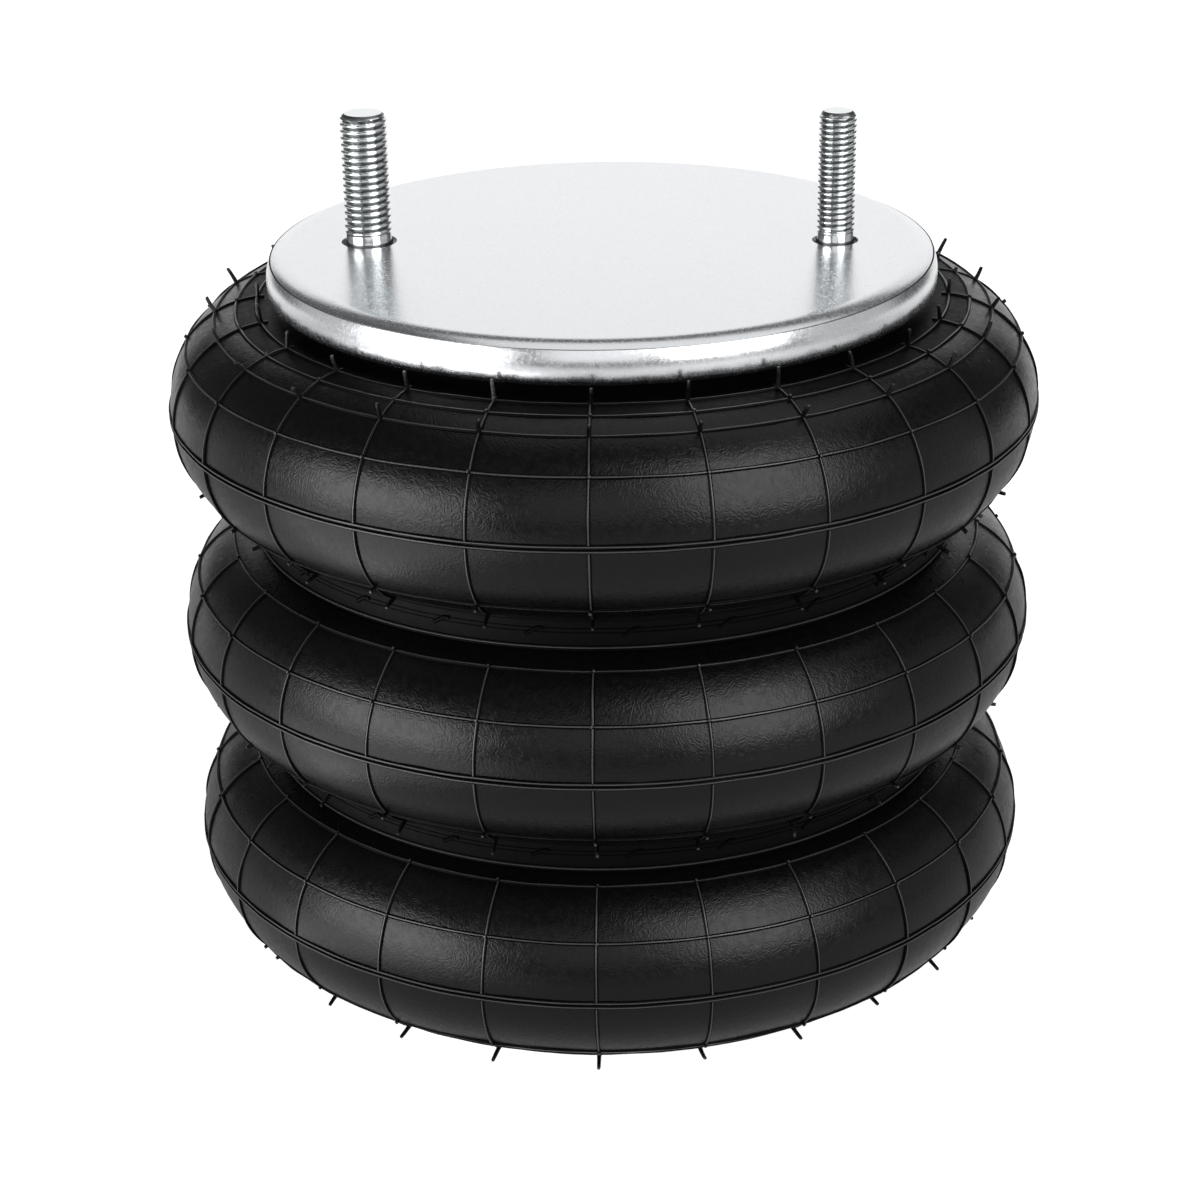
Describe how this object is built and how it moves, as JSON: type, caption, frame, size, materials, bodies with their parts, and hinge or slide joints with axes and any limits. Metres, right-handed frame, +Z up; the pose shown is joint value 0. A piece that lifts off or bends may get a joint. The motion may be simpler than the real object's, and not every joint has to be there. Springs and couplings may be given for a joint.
{
  "type": "air bellows actuator",
  "caption": "Convoluted rubber air bellows clamped between crimped steel bead plates, with girdle hoops in its waists and threaded studs on top, that lifts or cushions a load.",
  "frame": {"origin": "centre of the lower mounting face, with the bellows at the height in the picture", "axes": "+Z up the stroke towards the upper plate, +X along the line of the studs towards the small stud"},
  "size_m": [0.2976, 0.2976, 0.2955],
  "materials": {
    "zinc_plate": "satin zinc plate",
    "zinc_stud": "bright zinc plate",
    "bellows_rubber": "moulded black rubber, satin",
    "cord_ply": "rubberised cord fabric",
    "liner_rubber": "smooth calendered rubber",
    "girdle_rubber": "moulded black rubber, satin",
    "bead_rubber": "moulded black rubber",
    "hoop_steel": "drawn steel",
    "bead_wire": "bronze coated drawn wire",
    "fitting_steel": "bright zinc plate"
  },
  "bodies": {
    "lower_plate": {"lower_bead_plate": "zinc_plate", "lower_bead": "bead_rubber", "lower_bead_wire": "bead_wire", "left_blind_nut": "fitting_steel", "right_blind_nut": "fitting_steel", "air_inlet_bush": "fitting_steel"},
    "lower_convolution": {"lower_cover": "bellows_rubber", "lower_outer_ply": "cord_ply", "lower_inner_ply": "cord_ply", "lower_liner": "liner_rubber"},
    "lower_girdle": {"lower_girdle_jacket": "girdle_rubber", "lower_girdle_hoop": "hoop_steel"},
    "middle_convolution": {"middle_cover": "bellows_rubber", "middle_outer_ply": "cord_ply", "middle_inner_ply": "cord_ply", "middle_liner": "liner_rubber"},
    "upper_girdle": {"upper_girdle_jacket": "girdle_rubber", "upper_girdle_hoop": "hoop_steel"},
    "upper_convolution": {"upper_cover": "bellows_rubber", "upper_outer_ply": "cord_ply", "upper_inner_ply": "cord_ply", "upper_liner": "liner_rubber"},
    "upper_plate": {"upper_bead_plate": "zinc_plate", "upper_large_stud": "zinc_stud", "upper_small_stud": "zinc_stud", "upper_bead": "bead_rubber", "upper_bead_wire": "bead_wire"}
  },
  "joints": [
    {"name": "lower_stroke", "type": "slide", "parent": "lower_plate", "child": "lower_convolution", "axis": [0, 0, 1], "range_m": [-0.0215, 0.0185], "stiffness_N_per_m": 12000, "springref_m": 0.00239, "deforming": ["lower_cover", "lower_outer_ply", "lower_inner_ply", "lower_liner"]},
    {"name": "lower_crown_stroke", "type": "slide", "parent": "lower_convolution", "child": "lower_girdle", "axis": [0, 0, 1], "range_m": [-0.0215, 0.0185], "stiffness_N_per_m": 12000, "springref_m": 0.00204},
    {"name": "middle_stroke", "type": "slide", "parent": "lower_girdle", "child": "middle_convolution", "axis": [0, 0, 1], "range_m": [-0.0215, 0.0185], "stiffness_N_per_m": 12000, "springref_m": 0.0019, "deforming": ["middle_cover", "middle_outer_ply", "middle_inner_ply", "middle_liner"]},
    {"name": "middle_crown_stroke", "type": "slide", "parent": "middle_convolution", "child": "upper_girdle", "axis": [0, 0, 1], "range_m": [-0.0215, 0.0185], "stiffness_N_per_m": 12000, "springref_m": 0.00155},
    {"name": "upper_stroke", "type": "slide", "parent": "upper_girdle", "child": "upper_convolution", "axis": [0, 0, 1], "range_m": [-0.0215, 0.0185], "stiffness_N_per_m": 12000, "springref_m": 0.00141, "deforming": ["upper_cover", "upper_outer_ply", "upper_inner_ply", "upper_liner"]},
    {"name": "upper_crown_stroke", "type": "slide", "parent": "upper_convolution", "child": "upper_plate", "axis": [0, 0, 1], "range_m": [-0.0215, 0.0185], "stiffness_N_per_m": 12000, "springref_m": 0.00106}
  ],
  "couplings": [
    {"joint": "lower_crown_stroke", "follows": "lower_stroke", "ratio": 1},
    {"joint": "middle_stroke", "follows": "lower_stroke", "ratio": 1},
    {"joint": "middle_crown_stroke", "follows": "lower_stroke", "ratio": 1},
    {"joint": "upper_stroke", "follows": "lower_stroke", "ratio": 1},
    {"joint": "upper_crown_stroke", "follows": "lower_stroke", "ratio": 1}
  ]
}
